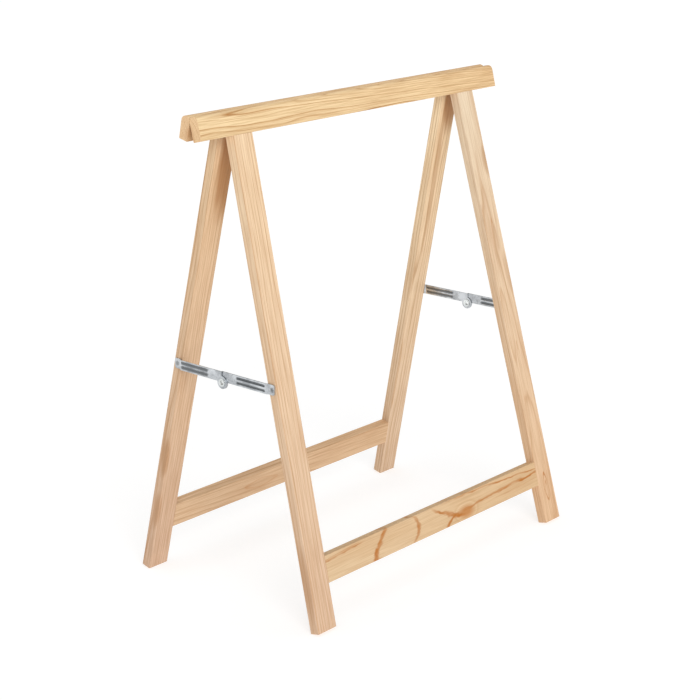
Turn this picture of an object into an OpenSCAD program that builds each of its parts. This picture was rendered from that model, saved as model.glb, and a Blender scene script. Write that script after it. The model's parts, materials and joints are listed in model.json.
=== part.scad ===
// Folding sawhorse: two hinged softwood frames held open by a folding steel stay at each end.
// Millimetres, +Z up. The feet stand on Z = 0, X runs along the beam and Y across the spread.
// Each frame is drawn folded flat: v grows outwards from the fold and t grows down from the hinge axis.

/* [Stance] */
// Length of the two top rails
beam_length = 662; // [560:1:800]
// Top of the rails to the ends of the legs, measured along a frame
frame_length = 770; // [640:1:920]
// Angle of each frame from the vertical when open
half_angle = 13.6; // [9:0.1:18]
// Angle by which the legs splay along the beam
leg_splay = 2.1; // [0:0.1:5]

/* [Timber] */
// Thickness of all the timber
board = 17; // [14:0.5:24]
// Height of a top rail
rail_height = 36; // [32:0.5:60]
// Width of a leg, measured along the beam
leg_width = 38; // [30:0.5:60]
// End of a rail to the outer edge of the leg below it
rail_overhang = 61; // [20:1:110]
// Height of a stretcher
stretcher_height = 41; // [34:0.5:60]
// Lower edge of a stretcher to the ends of the legs
stretcher_lift = 66; // [30:1:160]
// Chamfer along the long edges of the timber
arris = 1; // [0.3:0.1:2]

/* [Dowels] */
// Diameter of the dowels in the frame joints
dowel_d = 8; // [6:0.5:9]
// Length of a dowel
dowel_length = 36; // [26:1:44]
// Distance between the two dowels of a joint
dowel_pitch = 19; // [15:0.5:22]
// Spare depth at each end of a dowel
dowel_end_gap = 1; // [0.5:0.1:2]

/* [Hinges] */
// Depth of the hinge axis below the top of the rails
axis_depth = 10; // [8.5:0.1:12]
// Clearance from the middle plane to each rail's rounded top when the frames are open
rail_gap = 0.19; // [0.1:0.01:0.4]
// Inner edge of a leg to the near end of its hinge
hinge_leg_gap = 7; // [4:1:120]
// Length of a hinge along the beam
hinge_length = 50; // [40:1:70]
// Depth of a hinge leaf below the hinge axis
leaf_drop = 21; // [19:0.5:22]
// Thickness of a hinge leaf
leaf_thick = 1.2; // [0.8:0.1:1.4]
// Depth of a leaf's housing in its rail
leaf_housing = 0.6; // [0.3:0.05:1]
// Least distance from the axis plane to the inner face of a leaf
leaf_gap = 0.2; // [0.15:0.05:0.4]
// Radius of the hinge knuckles
knuckle_r = 2.4; // [2.1:0.1:2.8]
// Radius of the hinge pin
pin_r = 1.2; // [0.9:0.05:1.3]
// Radial clearance of the running knuckle on its pin
pin_play = 0.05; // [0.02:0.01:0.1]
// Distance between the two screws of a leaf
leaf_screw_pitch = 30; // [24:1:36]

/* [Stays] */
// Distance of a stay's end screws below the hinge axis, along a leg
stay_t = 394; // [300:1:450]
// Height of a stay's strip
strip_height = 16; // [13:0.5:18]
// Thickness of the stay's sheet steel
sheet = 1.5; // [1:0.1:2]
// Drop of the pivot below the middle line of the strip
pivot_drop = 9; // [8:0.1:12]
// Radius of the round lug at the pivot
lug_r = 9.8; // [9:0.1:12]
// Radius of the hole through the eyelet
eyelet_hole_r = 3.3; // [2.5:0.1:3.8]
// Outer radius of the eyelet's tube
eyelet_tube_r = 4.3; // [3.9:0.1:5]
// Radius of the eyelet's flange
eyelet_flange_r = 6.4; // [5.6:0.1:7.5]
// Thickness of the eyelet's flange
eyelet_flange = 0.8; // [0.5:0.1:1]
// Distance from the end screw to the end of the tab
tab_end = 5; // [4.5:0.1:7]
// Distance from the end screw to the ramp between the tab and the strip
tab_length = 7.5; // [6:0.1:10]
// Length of that ramp
ramp_length = 3.5; // [2.5:0.1:6]
// Distance from the end screw to the start of the pressed ribs
rib_start = 12.8; // [11:0.1:20]
// End of the pressed ribs to the pivot
rib_pivot_gap = 28.9; // [25:0.1:45]
// Width of a pressed rib
rib_width = 4.6; // [3:0.1:5]
// Height of a pressed rib
rib_height = 1.2; // [0.6:0.1:1.4]
// Distance of each rib from the middle line of the strip
rib_offset = 3.5; // [2.8:0.1:4.5]

/* [Hidden] */
$fn = 48;

left = -1;
right = 1;
pine = "burlywood";
pale_pine = "wheat";
zinc = "silver";

// Each frame's distance from the axis plane: room for the open rails' tops and for the closed leaves
round_t = axis_depth - board / 2;
open_gap = (rail_gap + board / 2 + round_t * sin(half_angle)) / cos(half_angle) - board / 2;
fold_gap = max(open_gap, leaf_gap + leaf_thick - leaf_housing);

// Frame: distances down from the hinge axis, and the height of that axis above the floor
leg_end_t = frame_length - axis_depth;
under_t = rail_height - axis_depth;
stretcher_t = leg_end_t - stretcher_lift - stretcher_height / 2;
axis_z = leg_end_t * cos(half_angle) - fold_gap * sin(half_angle);
mid_v = fold_gap + board / 2;
leg_top_x = beam_length / 2 - rail_overhang - leg_width / 2;
long = beam_length + frame_length;

// Dowel joints
dowel_hole_depth = dowel_length / 2 + dowel_end_gap;
dowel_chamfer = 1;
stretcher_half = leg_x(stretcher_t) - leg_width / 2;

// Hinge knuckles: the back leaf has the two outer ones and the front leaf the middle one
knuckle_gap = 0.3;
knuckle_room = 0.4;
knuckle_length = (hinge_length - 2 * knuckle_gap) / 3;
hinge_place = leg_top_x - leg_width / 2 - hinge_leg_gap - hinge_length / 2;
leaf_outer_v = fold_gap + leaf_housing;
leaf_inset = leaf_outer_v - leaf_thick;
leaf_screw_t = leaf_drop * 0.6;
leaf_screw_r = 1.5;
leaf_screw_head_r = 2.9;
leaf_screw_length = 12;
pocket_room = 0.3;

// Stay: distances outwards from the side of the leg at the end screw
tab_gap = 0.4;
inner_level = 2;
layer_gap = 0.4;
outer_level = inner_level + sheet + layer_gap;
eyelet_step = layer_gap / 2 - 0.05;
end_gap = 0.3;
end_lap = 2;
tab_corner = 3;
strip_corner = 0.6;
stay_y = stay_t * sin(half_angle) + mid_v * cos(half_angle);
stay_z = axis_z - stay_t * cos(half_angle) + mid_v * sin(half_angle);
stay_face_x = leg_x(stay_t) + leg_width / 2;
stay_screw_r = 2;
stay_screw_play = 0.05;
stay_screw_head_r = 3.4;
stay_screw_land = 0.6;
stay_screw_head = sheet - stay_screw_land;
stay_screw_depth = 22;
head_slope = (stay_screw_head_r - stay_screw_r) / stay_screw_head;
head_room = 0.3;
rib_r = (pow(rib_width / 2, 2) + pow(rib_height, 2)) / (2 * rib_height);
rib_wall = 1.2;
rib_length = stay_y - rib_start - rib_pivot_gap;

// Distance from the middle of the beam to the middle of a leg, at a distance t below the axis
function leg_x(t) = leg_top_x + (t - under_t) * tan(leg_splay);

// ---------- Placing ----------

module back_frame_open() {
    translate([0, 0, axis_z]) rotate([half_angle, 0, 0]) children();
}

module front_frame_open() {
    mirror([0, 1, 0]) back_frame_open() children();
}

// Draws a thing made for the right-hand end at the chosen end
module at_end(end) {
    if (end == right) children();
    else mirror([1, 0, 0]) children();
}

// A rod of radius r along X from x0, at v and t of a folded frame
module rod_x(x0, length, r, v, t) {
    translate([x0, v, -t]) rotate([0, 90, 0]) cylinder(h = length, r = r);
}

// ---------- Timber ----------

module chamfered(w, h) {
    polygon([
        [-w / 2 + arris, -h / 2], [w / 2 - arris, -h / 2], [w / 2, -h / 2 + arris], [w / 2, h / 2 - arris],
        [w / 2 - arris, h / 2], [-w / 2 + arris, h / 2], [-w / 2, h / 2 - arris], [-w / 2, -h / 2 + arris]]);
}

// Cross-section of a rail: a half-round top and chamfered lower edges
module rail_section() {
    translate([mid_v, round_t]) circle(d = board);
    polygon([
        [fold_gap, round_t], [fold_gap, -under_t + arris], [fold_gap + arris, -under_t],
        [fold_gap + board - arris, -under_t], [fold_gap + board, -under_t + arris],
        [fold_gap + board, round_t]]);
}

module rail() {
    difference() {
        translate([-beam_length / 2, 0, 0]) rotate([90, 0, 90])
            linear_extrude(beam_length) rail_section();
        for (end = [left, right]) at_end(end) {
            rail_dowel_places() dowel_hole();
            translate([hinge_place, 0, 0]) hinge_housing();
        }
    }
}

module leg(end) {
    at_end(end) difference() {
        intersection() {
            translate([0, 0, -leg_end_t]) cube([long, fold_gap + board + 1, leg_end_t - under_t]);
            translate([leg_top_x, mid_v, -under_t]) rotate([0, -leg_splay, 0])
                translate([0, 0, -long]) linear_extrude(2 * long)
                    chamfered(leg_width * cos(leg_splay), board);
        }
        rail_dowel_places() dowel_hole();
        stretcher_dowel_places() dowel_hole();
        rod_x(stay_face_x - stay_screw_depth, long, stay_screw_r, mid_v, stay_t);
    }
}

module stretcher() {
    difference() {
        intersection() {
            translate([-long / 2, mid_v, -stretcher_t]) rotate([90, 0, 90])
                linear_extrude(long) chamfered(board, stretcher_height);
            translate([0, long / 2, -stretcher_t]) rotate([90, 0, 0])
                linear_extrude(long) stretcher_outline();
        }
        for (end = [left, right]) at_end(end) stretcher_dowel_places() dowel_hole();
    }
}

// The stretcher's ends follow the inner edges of the splayed legs
module stretcher_outline() {
    top = stretcher_height;
    spread = top * tan(leg_splay);
    polygon([
        [-stretcher_half - spread, -top], [stretcher_half + spread, -top],
        [stretcher_half - spread, top], [-stretcher_half + spread, top]]);
}

// ---------- Dowels ----------

// The two dowels between a leg's top and its rail
module rail_dowel_places() {
    for (side = [-1, 1]) translate([leg_top_x + side * dowel_pitch / 2, mid_v, -under_t]) children();
}

// The two dowels between a leg's inner edge and its stretcher
module stretcher_dowel_places() {
    for (side = [-1, 1]) {
        t = stretcher_t + side * dowel_pitch / 2;
        translate([leg_x(t) - leg_width / 2, mid_v, -t]) rotate([0, 90, 0]) children();
    }
}

module dowel_hole() {
    cylinder(h = 2 * dowel_hole_depth, d = dowel_d, center = true);
}

module dowel() {
    straight = dowel_length - 2 * dowel_chamfer;
    cylinder(h = straight, d = dowel_d, center = true);
    for (up = [0, 1]) mirror([0, 0, up]) translate([0, 0, straight / 2])
        cylinder(h = dowel_chamfer, d1 = dowel_d, d2 = dowel_d - 2 * dowel_chamfer);
}

module rail_dowels() {
    for (end = [left, right]) at_end(end) rail_dowel_places() dowel();
}

module stretcher_dowels() {
    for (end = [left, right]) at_end(end) stretcher_dowel_places() dowel();
}

// ---------- Hinges ----------

module knuckle(place) {
    x0 = -hinge_length / 2 + place * (knuckle_length + knuckle_gap);
    rod_x(x0, knuckle_length, knuckle_r, 0, 0);
}

// Room that the other leaf's knuckle needs
module knuckle_clearance(place) {
    x0 = -hinge_length / 2 + place * (knuckle_length + knuckle_gap) - knuckle_gap;
    rod_x(x0, knuckle_length + 2 * knuckle_gap, knuckle_r + knuckle_room, 0, 0);
}

module leaf_screw_places() {
    for (side = [-1, 1]) translate([side * leaf_screw_pitch / 2, leaf_inset, -leaf_screw_t])
        rotate([-90, 0, 0]) children();
}

// A hinge leaf in its frame: own knuckles, cut away around the other leaf's
module leaf(own, other, bore_r) {
    difference() {
        union() {
            translate([-hinge_length / 2, leaf_inset, -leaf_drop])
                cube([hinge_length, leaf_thick, leaf_drop]);
            for (place = own) knuckle(place);
        }
        for (place = other) knuckle_clearance(place);
        rod_x(-hinge_length, 2 * hinge_length, bore_r, 0, 0);
        leaf_screw_places() translate([0, 0, -0.01]) {
            cylinder(h = leaf_thick + 1, r = leaf_screw_r);
            cylinder(h = leaf_thick, r1 = leaf_screw_head_r, r2 = leaf_screw_r);
        }
    }
}

module leaf_screw() {
    cylinder(h = leaf_thick, r1 = leaf_screw_head_r, r2 = leaf_screw_r);
    cylinder(h = leaf_screw_length, r = leaf_screw_r);
}

// Pocket, knuckle groove and pilot holes that a rail needs for its leaf
module hinge_housing() {
    housing = hinge_length + 2 * pocket_room;
    depth = leaf_drop + pocket_room;
    translate([-housing / 2, 0, -depth]) cube([housing, leaf_outer_v, depth]);
    rod_x(-housing / 2, housing, knuckle_r + knuckle_room, 0, 0);
    leaf_screw_places() cylinder(h = leaf_screw_length, r = leaf_screw_r);
}

module back_leaf(end) {
    translate([end * hinge_place, 0, 0]) leaf([0, 2], [1], pin_r);
}

module front_leaf(end) {
    translate([end * hinge_place, 0, 0]) leaf([1], [0, 2], pin_r + pin_play);
}

module hinge_pin(end) {
    translate([end * hinge_place, 0, 0]) rod_x(-hinge_length / 2, hinge_length, pin_r, 0, 0);
}

module leaf_screws(end) {
    translate([end * hinge_place, 0, 0]) leaf_screw_places() leaf_screw();
}

// ---------- Stays ----------
// An arm is drawn with its end screw at the origin, the pivot along +X and below, and Z out of the leg.

module arm_outline(outer) {
    reach = outer ? stay_y - end_gap : stay_y + end_lap;
    h = strip_height / 2;
    translate([-tab_end + tab_corner, -h]) square([reach + tab_end - tab_corner - strip_corner, 2 * h]);
    translate([-tab_end, -h + tab_corner]) square([tab_end, 2 * (h - tab_corner)]);
    for (side = [-1, 1]) translate([-tab_end + tab_corner, side * (h - tab_corner)]) circle(tab_corner);
    translate([reach - 2 * strip_corner, -h]) square([2 * strip_corner, 2 * h - strip_corner]);
    translate([reach - strip_corner, h - strip_corner]) circle(strip_corner);
}

// Side view of the arm's strip: tab on the leg, ramp, and the strip at its own level
module arm_profile(level) {
    ramp_end = tab_length + ramp_length;
    polygon([
        [-tab_end, tab_gap], [tab_length, tab_gap], [ramp_end, level], [stay_y + end_lap, level],
        [stay_y + end_lap, level + sheet], [ramp_end, level + sheet], [tab_length, tab_gap + sheet],
        [-tab_end, tab_gap + sheet]]);
}

// A round-ended rod along X under the sheet, of which only the top stands above it
module rib_rod(r) {
    translate([0, 0, rib_height - rib_r]) {
        rotate([0, 90, 0]) cylinder(h = rib_length - 2 * rib_width / 2, r = r);
        for (x = [0, rib_length - rib_width]) translate([x, 0, 0]) sphere(r = r);
    }
}

module rib_places() {
    for (side = [-1, 1]) translate([rib_start + rib_width / 2, side * rib_offset, 0]) children();
}

// One stamped arm. The outer arm of a stay has its ribs raised outwards, and the inner arm inwards.
module arm(outer) {
    level = outer ? outer_level : inner_level;
    rib_face = outer ? level + sheet : level;
    rib_turn = outer ? 0 : 1;
    difference() {
        union() {
            intersection() {
                translate([0, strip_height / 2, 0]) rotate([90, 0, 0])
                    linear_extrude(strip_height) arm_profile(level);
                linear_extrude(outer_level + 2 * sheet) arm_outline(outer);
            }
            translate([stay_y, -pivot_drop, level]) cylinder(h = sheet, r = lug_r);
            intersection() {
                translate([0, 0, rib_face]) mirror([0, 0, rib_turn]) rib_places() rib_rod(rib_r);
                translate([rib_start, -strip_height / 2, outer ? level : level - rib_height])
                    cube([rib_length, strip_height, sheet + rib_height]);
            }
        }
        translate([0, 0, rib_face]) mirror([0, 0, rib_turn]) rib_places()
            intersection() {
                rib_rod(rib_r - rib_wall);
                translate([-rib_width, -rib_width, -2 * sheet])
                    cube([rib_length + rib_width, 2 * rib_width, 4 * sheet]);
            }
        translate([stay_y, -pivot_drop, 0]) cylinder(h = outer_level + 2 * sheet, r = eyelet_tube_r);
        cylinder(h = outer_level + sheet, r = stay_screw_r + stay_screw_play);
        translate([0, 0, tab_gap + stay_screw_land]) countersink();
    }
}

// Seat of the end screw's head, carried on past the face of the tab at the head's own slope
module countersink() {
    r1 = stay_screw_r + head_room;
    cylinder(h = sheet, r1 = r1, r2 = r1 + sheet * head_slope);
}

// Half of the hollow eyelet: each arm keeps the flange on its own side and the tube through its own sheet
module eyelet_half(outer) {
    level = outer ? outer_level : inner_level;
    bottom = outer ? -eyelet_step : -eyelet_flange;
    translate([stay_y, -pivot_drop, level]) difference() {
        union() {
            translate([0, 0, bottom]) cylinder(h = sheet + eyelet_step + eyelet_flange, r = eyelet_tube_r);
            translate([0, 0, outer ? sheet : -eyelet_flange])
                cylinder(h = eyelet_flange, r = eyelet_flange_r);
        }
        translate([0, 0, -sheet]) cylinder(h = 4 * sheet, r = eyelet_hole_r);
    }
}

// Countersunk screw that an arm turns on, flush with its tab
module end_screw() {
    seat = tab_gap + stay_screw_land;
    translate([0, 0, -stay_screw_depth]) cylinder(h = stay_screw_depth + seat, r = stay_screw_r);
    translate([0, 0, seat]) cylinder(h = stay_screw_head, r1 = stay_screw_r, r2 = stay_screw_head_r);
}

// Places a thing made for the back arm of the left stay. The right stay is the left one turned half round.
module back_of_stay(end) {
    if (end == left) left_back() children();
    else rotate([0, 0, 180]) mirror([0, 1, 0]) left_back() children();
}

module front_of_stay(end) {
    if (end == left) mirror([0, 1, 0]) left_back() children();
    else rotate([0, 0, 180]) left_back() children();
}

module left_back() {
    translate([-stay_face_x, stay_y, stay_z]) rotate([90, 0, -90]) children();
}

// ---------- Nodes ----------

color(pine) back_frame_open() rail();  // back_rail
color(pine) back_frame_open() leg(left);  // back_left_leg
color(pine) back_frame_open() leg(right);  // back_right_leg
color(pine) back_frame_open() stretcher();  // back_stretcher
color(pine) front_frame_open() rail();  // front_rail
color(pine) front_frame_open() leg(left);  // front_left_leg
color(pine) front_frame_open() leg(right);  // front_right_leg
color(pine) front_frame_open() stretcher();  // front_stretcher
color(pale_pine) back_frame_open() rail_dowels();  // back_rail_dowels
color(pale_pine) back_frame_open() stretcher_dowels();  // back_stretcher_dowels
color(pale_pine) front_frame_open() rail_dowels();  // front_rail_dowels
color(pale_pine) front_frame_open() stretcher_dowels();  // front_stretcher_dowels
color(zinc) back_frame_open() back_leaf(left);  // left_hinge_back_leaf
color(zinc) front_frame_open() front_leaf(left);  // left_hinge_front_leaf
color(zinc) back_frame_open() hinge_pin(left);  // left_hinge_pin
color(zinc) back_frame_open() leaf_screws(left);  // left_hinge_back_screws
color(zinc) front_frame_open() leaf_screws(left);  // left_hinge_front_screws
color(zinc) back_frame_open() back_leaf(right);  // right_hinge_back_leaf
color(zinc) front_frame_open() front_leaf(right);  // right_hinge_front_leaf
color(zinc) back_frame_open() hinge_pin(right);  // right_hinge_pin
color(zinc) back_frame_open() leaf_screws(right);  // right_hinge_back_screws
color(zinc) front_frame_open() leaf_screws(right);  // right_hinge_front_screws
color(zinc) back_of_stay(left) arm(true);  // left_stay_back_arm
color(zinc) front_of_stay(left) arm(false);  // left_stay_front_arm
color(zinc) back_of_stay(left) eyelet_half(true);  // left_stay_back_eyelet
color(zinc) front_of_stay(left) eyelet_half(false);  // left_stay_front_eyelet
color(zinc) back_of_stay(left) end_screw();  // left_stay_back_screw
color(zinc) front_of_stay(left) end_screw();  // left_stay_front_screw
color(zinc) back_of_stay(right) arm(false);  // right_stay_back_arm
color(zinc) front_of_stay(right) arm(true);  // right_stay_front_arm
color(zinc) back_of_stay(right) eyelet_half(false);  // right_stay_back_eyelet
color(zinc) front_of_stay(right) eyelet_half(true);  // right_stay_front_eyelet
color(zinc) back_of_stay(right) end_screw();  // right_stay_back_screw
color(zinc) front_of_stay(right) end_screw();  // right_stay_front_screw
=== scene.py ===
import json
import math

import bmesh
import bpy
from mathutils import Matrix, Vector


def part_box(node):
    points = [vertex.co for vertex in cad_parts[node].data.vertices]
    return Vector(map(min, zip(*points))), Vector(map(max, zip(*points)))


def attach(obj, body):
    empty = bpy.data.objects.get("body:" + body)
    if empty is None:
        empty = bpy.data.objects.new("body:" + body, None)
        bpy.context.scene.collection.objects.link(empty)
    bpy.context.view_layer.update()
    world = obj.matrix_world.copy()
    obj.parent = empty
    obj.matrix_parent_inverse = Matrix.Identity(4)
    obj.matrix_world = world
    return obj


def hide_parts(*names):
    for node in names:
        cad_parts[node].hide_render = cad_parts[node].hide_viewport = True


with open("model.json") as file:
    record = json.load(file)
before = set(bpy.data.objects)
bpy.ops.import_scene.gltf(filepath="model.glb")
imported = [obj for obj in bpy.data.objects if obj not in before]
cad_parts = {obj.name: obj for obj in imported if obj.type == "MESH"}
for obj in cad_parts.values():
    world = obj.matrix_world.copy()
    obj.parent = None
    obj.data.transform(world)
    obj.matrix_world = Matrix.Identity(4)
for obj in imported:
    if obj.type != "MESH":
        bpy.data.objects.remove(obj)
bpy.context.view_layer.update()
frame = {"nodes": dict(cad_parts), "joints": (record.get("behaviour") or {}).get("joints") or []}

# ---------- Rails ----------
# Two battens of planed pine lie side by side and make the beam. Their tops are moulded to a half round,
# and each has two shallow housings chiselled in its inner face for the hinges.

SIDES = {"back": 0.0, "front": math.pi}
ENDS = {"left": -1, "right": 1}
MM = 0.001

fold_joint = next(j for j in frame["joints"] if j["name"] == "fold")
axis_z = fold_joint["pos_m"][2]
half_angle = math.radians(fold_joint["range_deg"][1]) / 2

board = 0.017
arris = 0.001
sawn_edge = 0.0004
axis_depth = 0.010
rail_height = 0.036
beam_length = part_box("back_rail")[1].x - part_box("back_rail")[0].x
under_z = axis_depth - rail_height
top_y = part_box("back_rail")[1].y
mid_v = (top_y + (under_z + arris) * math.sin(half_angle)) / math.cos(half_angle) - board / 2
fold_gap = mid_v - board / 2

hinge_length = 0.050
leaf_housing = 0.0006
leaf_drop = 0.021
housing_room = 0.0003
groove_r = 0.0028
leaf_box = [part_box(f"{end}_hinge_back_leaf") for end in ENDS]
hinge_x = [(low.x + high.x) / 2 for low, high in leaf_box]


def linear(colour):
    """An sRGB hex colour as linear RGBA."""
    parts = [int(colour[i:i + 2], 16) / 255 for i in (1, 3, 5)]
    return [c / 12.92 if c <= 0.04045 else ((c + 0.055) / 1.055) ** 2.4 for c in parts] + [1.0]


def add_node(material, kind, inputs=None, stops=(), **settings):
    """Adds a node. An input takes a value or another node's socket. Stops are a ramp's places and colours."""
    node = material.node_tree.nodes.new(kind)
    for name, value in settings.items():
        setattr(node, name, value)
    for name, value in (inputs or {}).items():
        if isinstance(value, bpy.types.NodeSocket):
            material.node_tree.links.new(value, node.inputs[name])
        else:
            node.inputs[name].default_value = value
    for i, (place, colour) in enumerate(stops):
        stop = node.color_ramp.elements[i] if i < 2 else node.color_ramp.elements.new(place)
        stop.position = place
        stop.color = linear(colour)
    return node


def new_material(name):
    """An empty material with one Principled shader on its output."""
    material = bpy.data.materials.new(name)
    material.use_nodes = True
    material.node_tree.nodes.clear()
    shader = add_node(material, "ShaderNodeBsdfPrincipled")
    add_node(material, "ShaderNodeOutputMaterial", {"Surface": shader.outputs[0]})
    return material, shader


# Where pine darkens: at a knot, in a curl of latewood, in heartwood, and where a sawn end soaks up light.
# The heartwood brown also serves as painted shade on faces that lie in shade.
KNOT_BROWN = "#b8701f"
CURL_BROWN = "#b46c20"
HEART_AND_SHADE_BROWN = "#a8733f"
END_GRAIN = "#f4c698"
BELL_BASE = 0.3679


def pine(name, lie, pale, pale_far, line, ring, pith, lean=(0, 0), wander=6, seed=0, contrast=0.6,
         fibres=0.75, knots=(), stains_and_shade=(), streaks=(), bands=()):
    """Planed pine: pale straw wood, satin rather than shiny, with darker and smoother lines of latewood.

    The board is cut from a log whose growth rings run through it as solid cylinders. lie places the board's
    own axes (along, across, through) in the piece. Sizes are in millimetres: ring is the mean width of a
    growth ring, pith the log's middle from the board's, lean its tilt in degrees, and wander how far the
    rings stray. A knot is (along, across, radius), and a stain is (along, across, through, length, width,
    strength): darker heartwood, and where a face lies in shade, painted shade. Where the saw has cut through
    a curl of dark latewood, a streak runs along the board at across = a + b along + c along^2, and a band
    runs over it at along = a + b across + c across^2: each is (a, b, c, start, end, width, strength).
    """
    material, shader = new_material(name)
    turn = lie.inverted()
    coords = add_node(material, "ShaderNodeTexCoord")
    on_board = add_node(material, "ShaderNodeMapping", {
        "Vector": coords.outputs["Object"], "Location": turn.to_translation() / MM,
        "Rotation": turn.to_euler(), "Scale": (1 / MM, 1 / MM, 1 / MM)})
    place = on_board.outputs[0]
    parts = add_node(material, "ShaderNodeSeparateXYZ", {0: place})

    # Slow wander of the rings, over about 250 mm along the log and 40 mm across it
    slow_place = add_node(material, "ShaderNodeMapping", {
        "Vector": place, "Location": (seed * 7.3, seed * 3.1, seed), "Scale": (1 / 250, 1 / 40, 1 / 40)})
    slow = add_node(material, "ShaderNodeTexNoise", {
        "Vector": slow_place.outputs[0], "Scale": 1.0, "Detail": 2.0, "Roughness": 0.4})
    in_log = add_node(material, "ShaderNodeMapping", {
        "Vector": place, "Location": (0, -pith[0], -pith[1]),
        "Rotation": (0, math.radians(lean[1]), math.radians(lean[0]))})
    across_log = add_node(material, "ShaderNodeVectorMath", {0: in_log.outputs[0], 1: (0, 1, 1)},
                          operation="MULTIPLY")
    radius = add_node(material, "ShaderNodeVectorMath", {0: across_log.outputs[0]}, operation="LENGTH")
    strayed = add_node(material, "ShaderNodeMath", {
        0: slow.outputs[0], 1: 2 * wander, 2: radius.outputs["Value"]}, operation="MULTIPLY_ADD")
    ring_count = add_node(material, "ShaderNodeMath", {0: strayed.outputs[0], 1: ring}, operation="DIVIDE")
    count = ring_count.outputs[0]

    # A knot pushes the rings round it aside, and fades out as a bell curve of its distance
    heart = None
    for along, across, knot_r in knots:
        length = 2.4 * knot_r
        width = 1.3 * knot_r
        near = add_node(material, "ShaderNodeMapping", {
            "Vector": place, "Location": (-along / length, -across / width, 0),
            "Scale": (1 / length, 1 / width, 0)})
        reach = add_node(material, "ShaderNodeVectorMath", {0: near.outputs[0], 1: near.outputs[0]},
                         operation="DOT_PRODUCT")
        bell = add_node(material, "ShaderNodeMath", {0: BELL_BASE, 1: reach.outputs["Value"]},
                        operation="POWER")
        count = add_node(material, "ShaderNodeMath", {0: bell.outputs[0], 1: 1.1, 2: count},
                         operation="MULTIPLY_ADD").outputs[0]
        heart = bell.outputs[0] if heart is None else add_node(
            material, "ShaderNodeMath", {0: heart, 1: bell.outputs[0]}, operation="MAXIMUM").outputs[0]

    # Rings differ in width and in depth of colour
    uneven = add_node(material, "ShaderNodeTexNoise", {"W": count, "Scale": 0.45, "Detail": 1.0},
                      noise_dimensions="1D")
    ringed = add_node(material, "ShaderNodeMath", {0: uneven.outputs[0], 1: 1.2, 2: count},
                      operation="MULTIPLY_ADD")
    share = add_node(material, "ShaderNodeMath", {0: ringed.outputs[0]}, operation="FRACT")
    number = add_node(material, "ShaderNodeMath", {0: ringed.outputs[0]}, operation="FLOOR")
    chance = add_node(material, "ShaderNodeTexWhiteNoise", {"W": number.outputs[0]}, noise_dimensions="1D")
    depth = add_node(material, "ShaderNodeMapRange", {
        "Value": chance.outputs["Value"], "To Min": 0.35 * contrast, "To Max": contrast})
    latewood = add_node(material, "ShaderNodeValToRGB", {0: share.outputs[0]}, stops=(
        (0.0, "#000000"), (1.0, "#000000"), (0.45, "#111111"), (0.76, "#8f8f8f"), (0.90, "#ffffff"),
        (0.95, "#d8d8d8")))
    lines = add_node(material, "ShaderNodeMath", {0: latewood.outputs[0], 1: depth.outputs[0]},
                     operation="MULTIPLY")

    # Fibres: streaks about 1 mm wide and 60 mm long, coarser than real fibres so that they show
    fibre_place = add_node(material, "ShaderNodeMapping", {
        "Vector": place, "Scale": (1 / 60, 1 / 1.1, 1 / 1.1)})
    fibre = add_node(material, "ShaderNodeTexNoise", {
        "Vector": fibre_place.outputs[0], "Scale": 1.0, "Detail": 3.0, "Roughness": 0.6})

    # Warmer blotches, about 110 mm along the board and 16 mm across it
    blotch_place = add_node(material, "ShaderNodeMapping", {
        "Vector": place, "Location": (seed, 0, seed * 2.0), "Scale": (1 / 110, 1 / 16, 1 / 16)})
    blotch = add_node(material, "ShaderNodeTexNoise", {
        "Vector": blotch_place.outputs[0], "Scale": 1.0, "Detail": 2.0})

    # The tone drifts a little from one end of the board to the other
    half_length = 330
    far = add_node(material, "ShaderNodeMapRange", {
        "Value": parts.outputs[0], "From Min": -half_length, "From Max": half_length})
    wood = add_node(material, "ShaderNodeMix", {
        "Factor": far.outputs[0], 6: linear(pale), 7: linear(pale_far)}, data_type="RGBA")
    blotch_share = add_node(material, "ShaderNodeMapRange", {
        "Value": blotch.outputs[0], "From Min": 0.45, "From Max": 0.75, "To Max": 0.22})
    warmed = add_node(material, "ShaderNodeMix", {
        "Factor": blotch_share.outputs[0], 6: wood.outputs[2], 7: linear(line)}, data_type="RGBA")
    lined = add_node(material, "ShaderNodeMix", {
        "Factor": lines.outputs[0], 6: warmed.outputs[2], 7: linear(line)}, data_type="RGBA")
    fibre_shade = add_node(material, "ShaderNodeValToRGB", {0: fibre.outputs[0]}, stops=(
        (0.32, "#d2bda4"), (0.60, "#ffffff")))
    streaked = add_node(material, "ShaderNodeMix", {
        "Factor": fibres, 6: lined.outputs[2], 7: fibre_shade.outputs[0]},
        data_type="RGBA", blend_type="MULTIPLY")
    colour = streaked.outputs[2]
    if heart is not None:
        heart_share = add_node(material, "ShaderNodeMapRange", {
            "Value": heart, "From Min": 0.45, "From Max": 0.95, "To Max": 0.75})
        colour = add_node(material, "ShaderNodeMix", {
            "Factor": heart_share.outputs[0], 6: colour, 7: linear(KNOT_BROWN)}, data_type="RGBA").outputs[2]

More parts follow.
